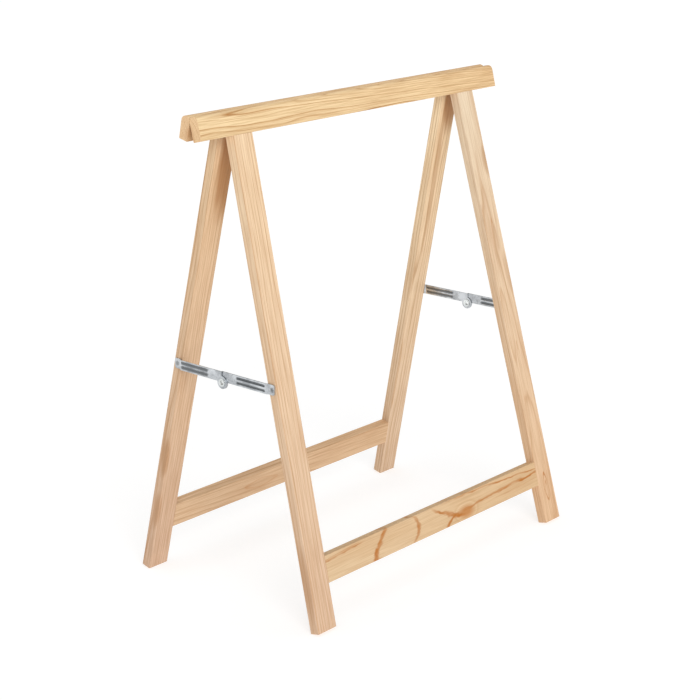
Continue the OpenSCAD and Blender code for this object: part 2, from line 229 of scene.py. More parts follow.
    # Streaks and bands waver and fade in patches of about 26 by 13 mm
    curl_place = add_node(material, "ShaderNodeMapping", {"Vector": place, "Scale": (1 / 26, 1 / 13, 1 / 13)})
    curl = add_node(material, "ShaderNodeTexNoise", {
        "Vector": curl_place.outputs[0], "Scale": 1.0, "Detail": 2.0})
    for run, off, curls in ((0, 1, streaks), (1, 0, bands)):
        for a, b, c, start, end, width, strength in curls:
            slope = add_node(material, "ShaderNodeMath", {0: parts.outputs[run], 1: c, 2: b},
                             operation="MULTIPLY_ADD")
            path = add_node(material, "ShaderNodeMath", {0: parts.outputs[run], 1: slope.outputs[0], 2: a},
                            operation="MULTIPLY_ADD")
            aside = add_node(material, "ShaderNodeMath", {0: parts.outputs[off], 1: path.outputs[0]},
                             operation="SUBTRACT")
            wave = add_node(material, "ShaderNodeMapRange", {
                "Value": curl.outputs[0], "To Min": -2.6 * width, "To Max": 2.6 * width})
            waved = add_node(material, "ShaderNodeMath", {0: aside.outputs[0], 1: wave.outputs[0]},
                             operation="ADD")
            scaled = add_node(material, "ShaderNodeMath", {0: waved.outputs[0], 1: width}, operation="DIVIDE")
            square = add_node(material, "ShaderNodeMath", {0: scaled.outputs[0], 1: scaled.outputs[0]},
                              operation="MULTIPLY")
            flat = add_node(material, "ShaderNodeMath", {0: square.outputs[0], 1: square.outputs[0]},
                            operation="MULTIPLY")
            bell = add_node(material, "ShaderNodeMath", {0: BELL_BASE, 1: flat.outputs[0]}, operation="POWER")
            rise = add_node(material, "ShaderNodeMapRange", {
                "Value": parts.outputs[run], "From Min": start, "From Max": start + 0.25 * (end - start),
                "To Max": strength})
            fall = add_node(material, "ShaderNodeMapRange", {
                "Value": parts.outputs[run], "From Min": end - 0.15 * (end - start), "From Max": end,
                "To Min": 1.0, "To Max": 0.0})
            shown = add_node(material, "ShaderNodeMath", {0: rise.outputs[0], 1: fall.outputs[0]},
                             operation="MULTIPLY")
            patchy = add_node(material, "ShaderNodeMapRange", {
                "Value": curl.outputs[0], "From Min": 0.3, "From Max": 0.6, "To Min": 0.45, "To Max": 1.0})
            strong = add_node(material, "ShaderNodeMath", {0: bell.outputs[0], 1: patchy.outputs[0]},
                              operation="MULTIPLY")
            share_here = add_node(material, "ShaderNodeMath", {0: strong.outputs[0], 1: shown.outputs[0]},
                                  operation="MULTIPLY")
            curled = add_node(material, "ShaderNodeMix", {
                "Factor": share_here.outputs[0], 6: colour, 7: linear(CURL_BROWN)}, data_type="RGBA")
            colour = curled.outputs[2]

    # A stain reaches 9 mm into the board, and its edge frays with the blotches. Most stains are heartwood;
    # those on the rails' inner faces and high on the back legs' inner faces are painted shade.
    stain_and_shade_depth = 9
    for along, across, through, length, width, strength in stains_and_shade:
        near = add_node(material, "ShaderNodeMapping", {
            "Vector": place, "Location": (-along / length, -across / width, -through / stain_and_shade_depth),
            "Scale": (1 / length, 1 / width, 1 / stain_and_shade_depth)})
        reach = add_node(material, "ShaderNodeVectorMath", {0: near.outputs[0], 1: near.outputs[0]},
                         operation="DOT_PRODUCT")
        frayed = add_node(material, "ShaderNodeMath", {
            0: blotch.outputs[0], 1: -1.6, 2: reach.outputs["Value"]}, operation="MULTIPLY_ADD")
        stain_and_shade_share = add_node(material, "ShaderNodeMapRange", {
            "Value": frayed.outputs[0], "From Min": -0.6, "From Max": 0.5, "To Min": strength, "To Max": 0.0},
            interpolation_type="SMOOTHSTEP")
        colour = add_node(material, "ShaderNodeMix", {
            "Factor": stain_and_shade_share.outputs[0], 6: colour, 7: linear(HEART_AND_SHADE_BROWN)}, data_type="RGBA").outputs[2]

    # Sawn ends keep their rings, but are of one even tone under them
    along_axis = (lie.to_3x3() @ Vector((1, 0, 0))).normalized()
    facing_end = add_node(material, "ShaderNodeVectorMath", {0: coords.outputs["Normal"], 1: along_axis},
                          operation="DOT_PRODUCT")
    end_size = add_node(material, "ShaderNodeMath", {0: facing_end.outputs["Value"]}, operation="ABSOLUTE")
    end_grain = add_node(material, "ShaderNodeMapRange", {
        "Value": end_size.outputs[0], "From Min": 0.6, "From Max": 0.9, "To Max": 0.4})
    finished_colour = add_node(material, "ShaderNodeMix", {
        "Factor": end_grain.outputs[0], 6: colour, 7: linear(END_GRAIN)}, data_type="RGBA")

    # Latewood is harder, so it planes smoother and stands a little proud of the soft wood
    gloss = add_node(material, "ShaderNodeMapRange", {
        "Value": lines.outputs[0], "To Min": 0.62, "To Max": 0.46})
    height = add_node(material, "ShaderNodeMath", {0: lines.outputs[0], 1: 0.5, 2: fibre.outputs[0]},
                      operation="MULTIPLY_ADD")
    relief = add_node(material, "ShaderNodeBump", {
        "Height": height.outputs[0], "Strength": 0.35, "Distance": 0.0003})
    links = material.node_tree.links
    links.new(finished_colour.outputs[2], shader.inputs["Base Color"])
    links.new(gloss.outputs[0], shader.inputs["Roughness"])
    links.new(relief.outputs[0], shader.inputs["Normal"])
    shader.inputs["Specular IOR Level"].default_value = 0.3
    return material


def box_shape(low, high):
    """A bmesh box between two corners."""
    shape = bmesh.new()
    bmesh.ops.create_cube(shape, size=1)
    bmesh.ops.scale(shape, vec=Vector(high) - Vector(low), verts=shape.verts)
    bmesh.ops.translate(shape, vec=(Vector(high) + Vector(low)) / 2, verts=shape.verts)
    return shape


def rod_shape(start, length, radius, radius_end=None, sides=48):
    """A bmesh rod or cone along X."""
    shape = bmesh.new()
    middle = Matrix.Translation(Vector(start) + Vector((length / 2, 0, 0)))
    bmesh.ops.create_cone(
        shape, cap_ends=True, segments=sides, radius1=radius,
        radius2=radius if radius_end is None else radius_end, depth=length,
        matrix=middle @ Matrix.Rotation(math.pi / 2, 4, "Y"))
    return shape


def carve(shape, tool, operation="DIFFERENCE"):
    """Cuts, joins or trims one closed shape with another, and gives the result."""
    objects = []
    for part in (shape, tool):
        mesh = bpy.data.meshes.new("shape")
        part.to_mesh(mesh)
        part.free()
        objects.append(bpy.data.objects.new("shape", mesh))
        bpy.context.scene.collection.objects.link(objects[-1])
    change = objects[0].modifiers.new("carve", "BOOLEAN")
    change.operation = operation
    change.solver = "EXACT"
    change.object = objects[1]
    result = bmesh.new()
    result.from_object(objects[0], bpy.context.evaluated_depsgraph_get())
    for spent in objects:
        bpy.data.objects.remove(spent)
    return result


def soften(shape, radius, least=math.radians(50), segments=3, chosen=lambda edge: True):
    """Rounds the shape's sharp edges."""
    sharp = [e for e in shape.edges
             if len(e.link_faces) == 2 and e.calc_face_angle() > least and chosen(e)]
    bmesh.ops.bevel(shape, geom=sharp, offset=radius, offset_type="OFFSET", affect="EDGES",
                    segments=segments, profile=0.5, material=-1, clamp_overlap=True)


def finish_piece(shape, name, place, body, nodes, material):
    """Makes a piece of a shape: placed in its mesh, smooth between crisp edges, and riding on its body."""
    bmesh.ops.transform(shape, matrix=place, verts=shape.verts)
    bmesh.ops.recalc_face_normals(shape, faces=shape.faces)
    mesh = bpy.data.meshes.new(name)
    shape.to_mesh(mesh)
    shape.free()
    mesh.shade_smooth()
    mesh.set_sharp_from_angle(angle=math.radians(40))
    mesh.materials.append(material)
    piece = bpy.data.objects.new(name, mesh)
    bpy.context.scene.collection.objects.link(piece)
    smooth = piece.modifiers.new("even_normals", "WEIGHTED_NORMAL")
    smooth.keep_sharp = True
    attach(piece, body)
    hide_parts(*nodes)
    return piece


def open_frame(side):
    """Places a folded frame's (along, outwards, up) at its open angle."""
    return (Matrix.Rotation(SIDES[side], 4, "Z") @ Matrix.Translation((0, 0, axis_z))
            @ Matrix.Rotation(half_angle, 4, "X"))


def board_axes(along, across, centre):
    """A board's own axes (along, across, through) in its frame."""
    along, across = Vector(along).normalized(), Vector(across).normalized()
    through = along.cross(across)
    axes = Matrix((along, across, through)).transposed().to_4x4()
    return Matrix.Translation(centre) @ axes


def rail_shape():
    """A rail in its folded frame: a half-round top spun from one corner, with softened lower arrises."""
    shape = bmesh.new()
    round_z = axis_depth - board / 2
    corners = [shape.verts.new((-beam_length / 2, v, z)) for v, z in (
        (fold_gap, round_z), (fold_gap, under_z), (fold_gap + board, under_z), (fold_gap + board, round_z))]
    for pair in zip(corners, corners[1:]):
        shape.edges.new(pair)
    bmesh.ops.spin(shape, geom=[corners[3]], cent=(0, mid_v, round_z), axis=(1, 0, 0), dvec=(0, 0, 0),
                   angle=math.pi, steps=20, use_merge=False, use_duplicate=False)
    bmesh.ops.remove_doubles(shape, verts=shape.verts, dist=1e-6)
    section = bmesh.ops.contextual_create(shape, geom=shape.edges)
    grown = bmesh.ops.extrude_face_region(shape, geom=section["faces"])
    bmesh.ops.translate(shape, vec=(beam_length, 0, 0),
                        verts=[g for g in grown["geom"] if isinstance(g, bmesh.types.BMVert)])
    bmesh.ops.recalc_face_normals(shape, faces=shape.faces)
    soften(shape, arris, chosen=lambda e: all(abs(v.co.z - under_z) < 1e-6 for v in e.verts)
           and abs(e.verts[0].co.x - e.verts[1].co.x) > 0.1)
    soften(shape, sawn_edge, segments=2, chosen=lambda e: abs(abs(e.verts[0].co.x) - beam_length / 2) < 1e-6
           and abs(e.verts[0].co.x - e.verts[1].co.x) < 1e-6)
    for x in hinge_x:
        half = hinge_length / 2 + housing_room
        depth = leaf_drop + housing_room
        housing = box_shape((x - half, -board / 2, -depth), (x + half, fold_gap + leaf_housing, 0))
        shape = carve(shape, housing)
        shape = carve(shape, rod_shape((x - half, 0, 0), 2 * half, groove_r))
    return shape


# On both rails, the stain on the inner face near the left end is painted shade for the narrow gap between the
# rails
RAIL_GRAIN = {
    "front": dict(pale="#f6dbad", pale_far="#efd0a2", line="#b9803f", ring=3.0, pith=(-34, -26),
                  lean=(3.4, 1.2), wander=7, seed=11, contrast=1.0, fibres=0.7,
                  stains_and_shade=((-300, -8, -11, 70, 22, 0.55),)),
    "back": dict(pale="#eed2a8", pale_far="#e8c89e", line="#b37c42", ring=3.0, pith=(24, 26),
                 lean=(1.2, -0.8), wander=6, seed=8, contrast=0.7, stains_and_shade=((-300, -8, 11, 70, 22, 0.55),))}
for side in SIDES:
    lie = open_frame(side) @ board_axes((1 if side == "back" else -1, 0, 0), (0, 0, 1),
                                        (0, mid_v, axis_depth - rail_height / 2))
    finish_piece(rail_shape(), f"{side}_rail_pine", open_frame(side), f"{side}_frame", [f"{side}_rail"],
                 pine(f"pine, planed, {side} rail", lie, **RAIL_GRAIN[side]))

# ---------- Legs ----------
# Four planed pine legs, 38 mm wide and as thick as the rails. They are dowelled and glued under the rails,
# splay a little along the beam, and are sawn off square to their frame at the floor.

leg_width = 0.038
rail_overhang = 0.061
leg_splay = math.radians(2.1)
leg_end_z = -axis_z / math.cos(half_angle) - fold_gap * math.tan(half_angle)
leg_top_x = beam_length / 2 - rail_overhang - leg_width / 2


def leg_x(z):
    """Distance of a leg's middle line from the middle of the beam, at a height z of the folded frame."""
    return leg_top_x + (under_z - z) * math.tan(leg_splay)


def leg_shape(way):
    """A leg in its folded frame: a straight board whose lower end is moved out along the beam."""
    x = way * leg_top_x
    shape = box_shape((x - leg_width / 2, fold_gap, leg_end_z),
                      (x + leg_width / 2, fold_gap + board, under_z))
    foot = [v for v in shape.verts if v.co.z < (leg_end_z + under_z) / 2]
    bmesh.ops.translate(shape, vec=(way * (leg_x(leg_end_z) - leg_top_x), 0, 0), verts=foot)
    soften(shape, arris, chosen=lambda e: abs(e.verts[0].co.z - e.verts[1].co.z) > 0.1)
    soften(shape, sawn_edge, segments=2,
           chosen=lambda e: all(abs(v.co.z - leg_end_z) < 1e-6 for v in e.verts))
    return shape


LEG_GRAIN = {
    "front_left": dict(pale="#f5d9b5", pale_far="#dfbfa2", line="#c08c5a", ring=4.6, pith=(-38, -40),
                       lean=(0.3, 0.2), wander=5, seed=1, contrast=0.72, fibres=0.6,
                       stains_and_shade=((290, 19, 0, 60, 5, 0.45),)),
    "front_right": dict(pale="#ecd7ba", pale_far="#e3bf9a", line="#bb8450", ring=6.5, pith=(6, -60),
                        lean=(0.4, 0.9), wander=11, seed=5, contrast=0.6, fibres=0.6,
                        stains_and_shade=((-250, -15, -9, 30, 7, 0.5), (-124, -3, -9, 26, 5, 0.2),
                                (-60, -15, -9, 40, 8, 0.3)),
                        bands=((-150, 0, 1.6, -9, 7, 5, 0.4), (60, -1, 1.4, -8, 8, 5, 0.35),
                               (288, 0, 0.7, -10, 9, 3.5, 0.75), (331, 0, -0.7, -10, 9, 3.5, 0.7),
                               (300, 0, 0.9, -6, 6, 2.5, 0.6))),
    # The first stain, high on the inner face, is painted shade from the rails and front legs, over some real
    # heartwood
    "back_left": dict(pale="#ebcca6", pale_far="#d5b499", line="#b07c48", ring=4.2, pith=(26, 24),
                      lean=(0.5, -0.7), wander=6, seed=2, contrast=0.65, fibres=0.6,
                      stains_and_shade=((-330, 10, 9, 110, 22, 0.8), (170, -19, 6, 40, 6, 0.5),
                              (260, -19, 6, 40, 6, 0.5))),
    # The first stain, high on the inner face, is painted shade from the rails and front legs, over some real
    # heartwood
    "back_right": dict(pale="#fbe2bc", pale_far="#dabda0", line="#ad7a40", ring=5.2, pith=(-20, 30),
                       lean=(0.6, 0.4), wander=6, seed=7, contrast=0.75, fibres=0.6,
                       stains_and_shade=((-350, 8, 9, 60, 22, 0.8), (-200, -6, 9, 150, 5, 0.45)))}
for side in SIDES:
    for end, way in ENDS.items():
        turned = way if side == "back" else -way
        down = Vector((turned * math.tan(leg_splay), 0, -1))
        middle_z = (leg_end_z + under_z) / 2
        lie = open_frame(side) @ board_axes(
            down, Vector((1, 0, turned * math.tan(leg_splay))), (turned * leg_x(middle_z), mid_v, middle_z))
        finish_piece(leg_shape(turned), f"{side}_{end}_leg_pine", open_frame(side), f"{side}_frame",
                     [f"{side}_{end}_leg"],
                     pine(f"pine, planed, {side} {end} leg", lie, **LEG_GRAIN[f"{side}_{end}"]))

# ---------- Stretchers ----------
# A flat pine stretcher ties each pair of legs near the floor. Its ends are sawn to the legs' splay and
# dowelled into their inner edges, flush with both faces.

stretcher_height = 0.041
stretcher_lift = 0.066


def stretcher_shape():
    """A stretcher in its folded frame, with ends that follow the legs' inner edges."""
    low_z = leg_end_z + stretcher_lift
    high_z = low_z + stretcher_height
    reach = leg_x(high_z) - leg_width / 2
    shape = box_shape((-reach, fold_gap, low_z), (reach, fold_gap + board, high_z))
    for way in (-1, 1):
        lower = [v for v in shape.verts if v.co.z < low_z + 1e-6 and v.co.x * way > 0]
        bmesh.ops.translate(shape, vec=(way * stretcher_height * math.tan(leg_splay), 0, 0), verts=lower)
    soften(shape, arris, chosen=lambda e: abs(e.verts[0].co.x - e.verts[1].co.x) > 0.1)
    return shape


STRETCHER_GRAIN = {
    "front": dict(pale="#dfc29c", pale_far="#dab88e", line="#bd874c", ring=16, pith=(0, -190), lean=(0, 0),
                  wander=7, seed=4, contrast=0.3, fibres=0.4, knots=((68, -9, 12),),
                  streaks=((-7, 0.045, 0, 40, 285, 2.0, 0.95), (20, -0.015, -0.0001, 10, 285, 1.3, 0.85),
                           (29, 0.073, 0, -330, -165, 1.2, 0.9), (31.5, 0.073, 0, -330, -175, 0.9, 0.7),
                           (12.6, -0.594, 0.0036, -14, 66, 3.2, 0.95), (-23, 0.0, 0.0, -175, -110, 4.5, 0.8),
                           (-13, 0.03, 0, 110, 285, 0.8, 0.35)),
                  bands=((-140, 0.8, 0.012, -34, 26, 5.0, 0.9), (-46.7, 0.2, -0.038, -28, 26, 4.0, 0.85),
                         (52, 2.0, 0.02, -34, -3, 4.5, 0.9))),
    "back": dict(pale="#dcbc99", pale_far="#d8b58f", line="#b07e4e", ring=5, pith=(-30, 50), lean=(1.4, 0.6),
                 wander=7, seed=9, contrast=0.65, fibres=0.6,
                 bands=((-95, 0, 0.5, -12, 10, 5, 0.35), (-30, 0, -0.45, -14, 10, 5, 0.35)))}
for side in SIDES:
    middle = (0, mid_v, leg_end_z + stretcher_lift + stretcher_height / 2)
    lie = open_frame(side) @ board_axes((1 if side == "back" else -1, 0, 0), (0, 0, 1), middle)
    finish_piece(stretcher_shape(), f"{side}_stretcher_pine", open_frame(side), f"{side}_frame",
                 [f"{side}_stretcher"],
                 pine(f"pine, planed, {side} stretcher", lie, **STRETCHER_GRAIN[side]))

# ---------- Dowels ----------
# Turned beech dowels, 8 mm thick, glued across each joint of the frames. They are hidden in the wood,
# so they keep the shape they were drawn with. Beech is even and pinkish, with short dark flecks about
# 1 mm across and 3 mm long.

beech, shader = new_material("beech, turned")
coords = add_node(beech, "ShaderNodeTexCoord")
fleck_place = add_node(beech, "ShaderNodeMapping", {
    "Vector": coords.outputs["Object"], "Scale": (900, 900, 300)})
fleck = add_node(beech, "ShaderNodeTexNoise", {
    "Vector": fleck_place.outputs[0], "Scale": 1.0, "Detail": 2.0})
fleck_colour = add_node(beech, "ShaderNodeValToRGB", {0: fleck.outputs[0]}, stops=(
    (0.35, "#b98d63"), (0.6, "#cfa67c")))
fleck_relief = add_node(beech, "ShaderNodeBump", {
    "Height": fleck.outputs[0], "Strength": 0.2, "Distance": 0.0002})
beech.node_tree.links.new(fleck_colour.outputs[0], shader.inputs["Base Color"])
beech.node_tree.links.new(fleck_relief.outputs[0], shader.inputs["Normal"])
shader.inputs["Roughness"].default_value = 0.6
for side in SIDES:
    for joint in ("rail", "stretcher"):
        slots = frame["nodes"][f"{side}_{joint}_dowels"].data.materials
        slots.clear()
        slots.append(beech)

# ---------- Hinges ----------
# Two steel butt hinges join the rails. Each leaf is pressed from 1.2 mm sheet and rolled into knuckles
# round a 2.4 mm pin, and two small countersunk screws hold it in its housing. All of it is zinc plated.

leaf_thick = 0.0012
knuckle_r = 0.0024
pin_r = 0.0012
knuckle_gap = 0.0003
bore_room = 0.00005
leaf_screw_pitch = 0.030
leaf_screw_z = -0.6 * leaf_drop
leaf_screw_r = 0.0015
leaf_screw_head_r = 0.0029
leaf_screw_length = 0.012
leaf_outer = fold_gap + leaf_housing
leaf_inner = leaf_outer - leaf_thick


def zinc_steel(name, tone, worn, gloss, rib_shade=None):
    """Zinc-plated steel: a grey metal with a fine crystal mottle; for the stay it also carries painted shade,
    a darker tone in and round the pressed ribs.
    """
    material, shader = new_material(name)
    coords = add_node(material, "ShaderNodeTexCoord")

    # Crystals about 2 mm across, coarser than real ones so that they show, lie in clouds of about 17 mm
    crystal = add_node(material, "ShaderNodeTexNoise", {
        "Vector": coords.outputs["Object"], "Scale": 450.0, "Detail": 3.0, "Roughness": 0.7})
    cloud = add_node(material, "ShaderNodeTexNoise", {
        "Vector": coords.outputs["Object"], "Scale": 60.0, "Detail": 2.0})
    mottle = add_node(material, "ShaderNodeMath", {0: crystal.outputs[0], 1: 0.6, 2: cloud.outputs[0]},
                      operation="MULTIPLY_ADD")
    tint = add_node(material, "ShaderNodeValToRGB", {0: mottle.outputs[0]}, stops=(
        (0.62, worn), (0.98, tone)))
    rough = add_node(material, "ShaderNodeMapRange", {
        "Value": mottle.outputs[0], "From Min": 0.6, "From Max": 1.0,
        "To Min": gloss + 0.12, "To Max": gloss})
    relief = add_node(material, "ShaderNodeBump", {
        "Height": crystal.outputs[0], "Strength": 0.12, "Distance": 0.0001})
    colour = tint.outputs[0]
    # Painted shade: the darker tone is mixed in where the arm's attribute marks the ribs
    if rib_shade:
        pressed = add_node(material, "ShaderNodeAttribute", attribute_name="painted_rib_shade")
        colour = add_node(material, "ShaderNodeMix", {
            "Factor": pressed.outputs["Fac"], 6: colour, 7: linear(rib_shade)}, data_type="RGBA").outputs[2]
    links = material.node_tree.links
    links.new(colour, shader.inputs["Base Color"])
    links.new(rough.outputs[0], shader.inputs["Roughness"])
    links.new(relief.outputs[0], shader.inputs["Normal"])
    shader.inputs["Metallic"].default_value = 1.0
    return material


def leaf_shape(x, places):
    """A leaf in its folded frame, with a knuckle rolled round the pin at each place."""
    piece = hinge_length / 3
    shape = box_shape((x - hinge_length / 2, leaf_inner, -leaf_drop), (x + hinge_length / 2, leaf_outer, 0))
    soften(shape, 0.002, chosen=lambda e: abs(e.verts[0].co.y - e.verts[1].co.y) > 1e-5
           and e.verts[0].co.z < -leaf_drop / 2)
    for place in (0, 1, 2):
        start = x - hinge_length / 2 + place * piece + (knuckle_gap / 2 if place else 0)
        length = piece - (knuckle_gap / 2 if place in (0, 2) else knuckle_gap)
        if place in places:
            shape = carve(shape, rod_shape((start, 0, 0), length, knuckle_r), "UNION")
        else:
            shape = carve(shape, rod_shape((start - knuckle_gap, 0, 0), length + 2 * knuckle_gap, groove_r))
    shape = carve(shape, rod_shape((x - hinge_length, 0, 0), 2 * hinge_length, pin_r + bore_room))
    for way in (-1, 1):
        seat = rod_shape((leaf_inner - 0.0001, 0, 0), leaf_thick + 0.0002,
                         leaf_screw_head_r + 0.0001, leaf_screw_r)
        place = (Matrix.Translation((x + way * leaf_screw_pitch / 2, 0, leaf_screw_z))
                 @ Matrix.Rotation(math.pi / 2, 4, "Z"))
        bmesh.ops.transform(seat, matrix=place, verts=seat.verts)
        shape = carve(shape, seat)
    return shape


def screw_shape(head_r, shank_r, head, length, slot_r):
    """A countersunk screw pointing along -Z from its head's face, with a cross recess."""
    shape = bmesh.new()
    outline = [(0, 0), (head_r, 0), (head_r, -0.06 * head), (shank_r, -head), (shank_r, -0.8 * length),
               (0, -length)]
    points = [shape.verts.new((r, 0, z)) for r, z in outline]
    edges = [shape.edges.new(pair) for pair in zip(points, points[1:])]
    bmesh.ops.spin(shape, geom=points + edges, cent=(0, 0, 0), axis=(0, 0, 1), dvec=(0, 0, 0),
                   angle=2 * math.pi, steps=32, use_merge=True)
    bmesh.ops.remove_doubles(shape, verts=shape.verts, dist=1e-6)
    bmesh.ops.recalc_face_normals(shape, faces=shape.faces)
    for turn in (0, math.pi / 2):
        wide = 0.28 * slot_r
        deep = 0.75 * head
        cross = box_shape((-slot_r, -wide / 2, -deep), (slot_r, wide / 2, head))
        bmesh.ops.rotate(cross, cent=(0, 0, 0), matrix=Matrix.Rotation(turn + 0.4, 3, "Z"),
                         verts=cross.verts)
        shape = carve(shape, cross)
    return shape


hinge_zinc = zinc_steel("zinc-plated sheet steel, hinge", "#b9bcbe", "#9fa3a6", 0.32)
screw_zinc = zinc_steel("zinc-plated steel, screws", "#b0b3b4", "#8e9193", 0.30)
for end, way in ENDS.items():
    for side in SIDES:
        turned = way if side == "back" else -way
        x = turned * abs(hinge_x[0])
        knuckles = (0, 2) if side == "back" else (1,)
        finish_piece(leaf_shape(x, knuckles), f"{end}_hinge_{side}_leaf_steel", open_frame(side),
                     f"{side}_frame", [f"{end}_hinge_{side}_leaf"], hinge_zinc)
        screws = bmesh.new()
        for screw_way in (-1, 1):
            one = screw_shape(leaf_screw_head_r, leaf_screw_r, leaf_thick, leaf_screw_length, 0.0016)
            place = (Matrix.Translation((x + screw_way * leaf_screw_pitch / 2, leaf_inner, leaf_screw_z))
                     @ Matrix.Rotation(math.pi / 2, 4, "X"))
            bmesh.ops.transform(one, matrix=place, verts=one.verts)
            mesh = bpy.data.meshes.new("screw")
            one.to_mesh(mesh)
            one.free()
            screws.from_mesh(mesh)
        finish_piece(screws, f"{end}_hinge_{side}_screws_steel", open_frame(side), f"{side}_frame",
                     [f"{end}_hinge_{side}_screws"], screw_zinc)
    pin = rod_shape((way * abs(hinge_x[0]) - hinge_length / 2, 0, 0), hinge_length, pin_r)
    soften(pin, 0.0003, segments=2)
    finish_piece(pin, f"{end}_hinge_pin_steel", open_frame("back"), "back_frame", [f"{end}_hinge_pin"],
                 screw_zinc)

# ---------- Stays ----------
# Each end has a folding stay of two arms, stamped from 1.5 mm zinc-plated sheet. An arm has a tab stepped in
# to the leg, two pressed ribs that stiffen it, and a round lug below its end, where a hollow eyelet joins the
# pair. One arm lies outside the other, and each turns on a countersunk screw in the leg's edge.

sheet = 0.0015
strip_height = 0.016
tab_end = 0.005
tab_corner = 0.003
strip_corner = 0.0006
tab_gap = 0.0004
tab_length = 0.0075
ramp_length = 0.0035
inner_level = 0.002
layer_gap = 0.0004
outer_level = inner_level + sheet + layer_gap
pivot_drop = 0.009
lug_r = 0.0098
end_gap = 0.0003
end_lap = 0.002
rib_start = 0.0128
rib_pivot_gap = 0.0289
rib_width = 0.0046
rib_height = 0.0012
rib_offset = 0.0035
eyelet_hole_r = 0.0033
eyelet_tube_r = 0.0043
eyelet_flange_r = 0.0064
eyelet_flange = 0.0008
stay_screw_r = 0.002
stay_screw_head_r = 0.0034
stay_screw_land = 0.0006
stay_screw_depth = 0.022
seat_room = 0.0003
halves_gap = 0.00005
arm_joint = {j["name"]: Vector(j["pos_m"]) for j in frame["joints"]}
stay_y = arm_joint["left_back_arm_turn"].y
rib_length = stay_y - rib_start - rib_pivot_gap


def strip_level(x, level):
    """Height of the sheet's inner face over the leg: low at the tab, then up a smooth ramp to its level."""
    share = min(max((x - tab_length) / ramp_length, 0), 1)
    return tab_gap + (level - tab_gap) * share * share * (3 - 2 * share)


def rib_swell(x, y):
    """How far the pressed ribs lift the sheet at a point, from 0 to 1."""
    nearest = min(max(x, rib_start + rib_width / 2), rib_start + rib_length - rib_width / 2)
    away = math.hypot(x - nearest, abs(y) - rib_offset) / (rib_width / 2)
    return max(0, 1 - away ** 4)


def arm_shape(outer):
    """An arm with its end screw at the origin, its pivot along +X and below, and Z out of the leg."""
    level = outer_level if outer else inner_level
    reach = stay_y - end_gap if outer else stay_y + end_lap
    shape = bmesh.new()
    bmesh.ops.create_grid(shape, x_segments=124, y_segments=40, size=0.5)
    bmesh.ops.scale(shape, vec=(reach + tab_end, strip_height, 1), verts=shape.verts)
    bmesh.ops.translate(shape, vec=((reach - tab_end) / 2, 0, 0), verts=shape.verts)
    for v in shape.verts:
        swell = rib_height * rib_swell(v.co.x, v.co.y)
        v.co.z = strip_level(v.co.x, level) + (swell if outer else -swell)
    bmesh.ops.recalc_face_normals(shape, faces=shape.faces)
    if sum(f.normal.z for f in shape.faces) > 0:
        bmesh.ops.reverse_faces(shape, faces=shape.faces)
    bmesh.ops.solidify(shape, geom=shape.faces, thickness=sheet)
    bmesh.ops.recalc_face_normals(shape, faces=shape.faces)

    # The blank is trimmed to rounded corners before the lug is joined on
    blank = box_shape((-tab_end, -strip_height / 2, -0.01), (reach, strip_height / 2, 0.01))
    soften(blank, tab_corner, segments=8, chosen=lambda e: e.verts[0].co.x < 0 and e.verts[1].co.x < 0
           and abs(e.verts[0].co.z - e.verts[1].co.z) > 0.01)
    soften(blank, strip_corner, segments=8, chosen=lambda e: e.verts[0].co.x > 0 and e.verts[1].co.x > 0
           and e.verts[0].co.y > 0 and e.verts[1].co.y > 0 and abs(e.verts[0].co.z - e.verts[1].co.z) > 0.01)
    shape = carve(shape, blank, "INTERSECT")
    upright = Matrix.Rotation(-math.pi / 2, 4, "Y")
    lug = rod_shape((0, 0, 0), sheet, lug_r, sides=72)
    at_pivot = Matrix.Translation((stay_y, -pivot_drop, level))
    bmesh.ops.transform(lug, matrix=at_pivot @ upright, verts=lug.verts)
    shape = carve(shape, lug, "UNION")
    for x, y, radius in ((stay_y, -pivot_drop, eyelet_tube_r), (0, 0, stay_screw_r + bore_room)):
        hole = rod_shape((-0.01, 0, 0), 0.02, radius)
        bmesh.ops.transform(hole, matrix=Matrix.Translation((x, y, level)) @ upright, verts=hole.verts)
        shape = carve(shape, hole)
    head = sheet - stay_screw_land
    spread = (stay_screw_head_r - stay_screw_r) / head
    seat_r = stay_screw_r + seat_room
    seat = rod_shape((0, 0, 0), sheet, seat_r, seat_r + sheet * spread)
    bmesh.ops.transform(seat, matrix=Matrix.Translation((0, 0, tab_gap + stay_screw_land)) @ upright,
                        verts=seat.verts)
    shape = carve(shape, seat)

    # Painted shade: the plating is darkened in and round the ribs, where the pressed grooves lie in shade;
    # the ramp keeps the plain tone
    painted_rib_shade = shape.verts.layers.float.new("painted_rib_shade")
    for v in shape.verts:
        v[painted_rib_shade] = rib_swell(v.co.x, v.co.y)
    return shape


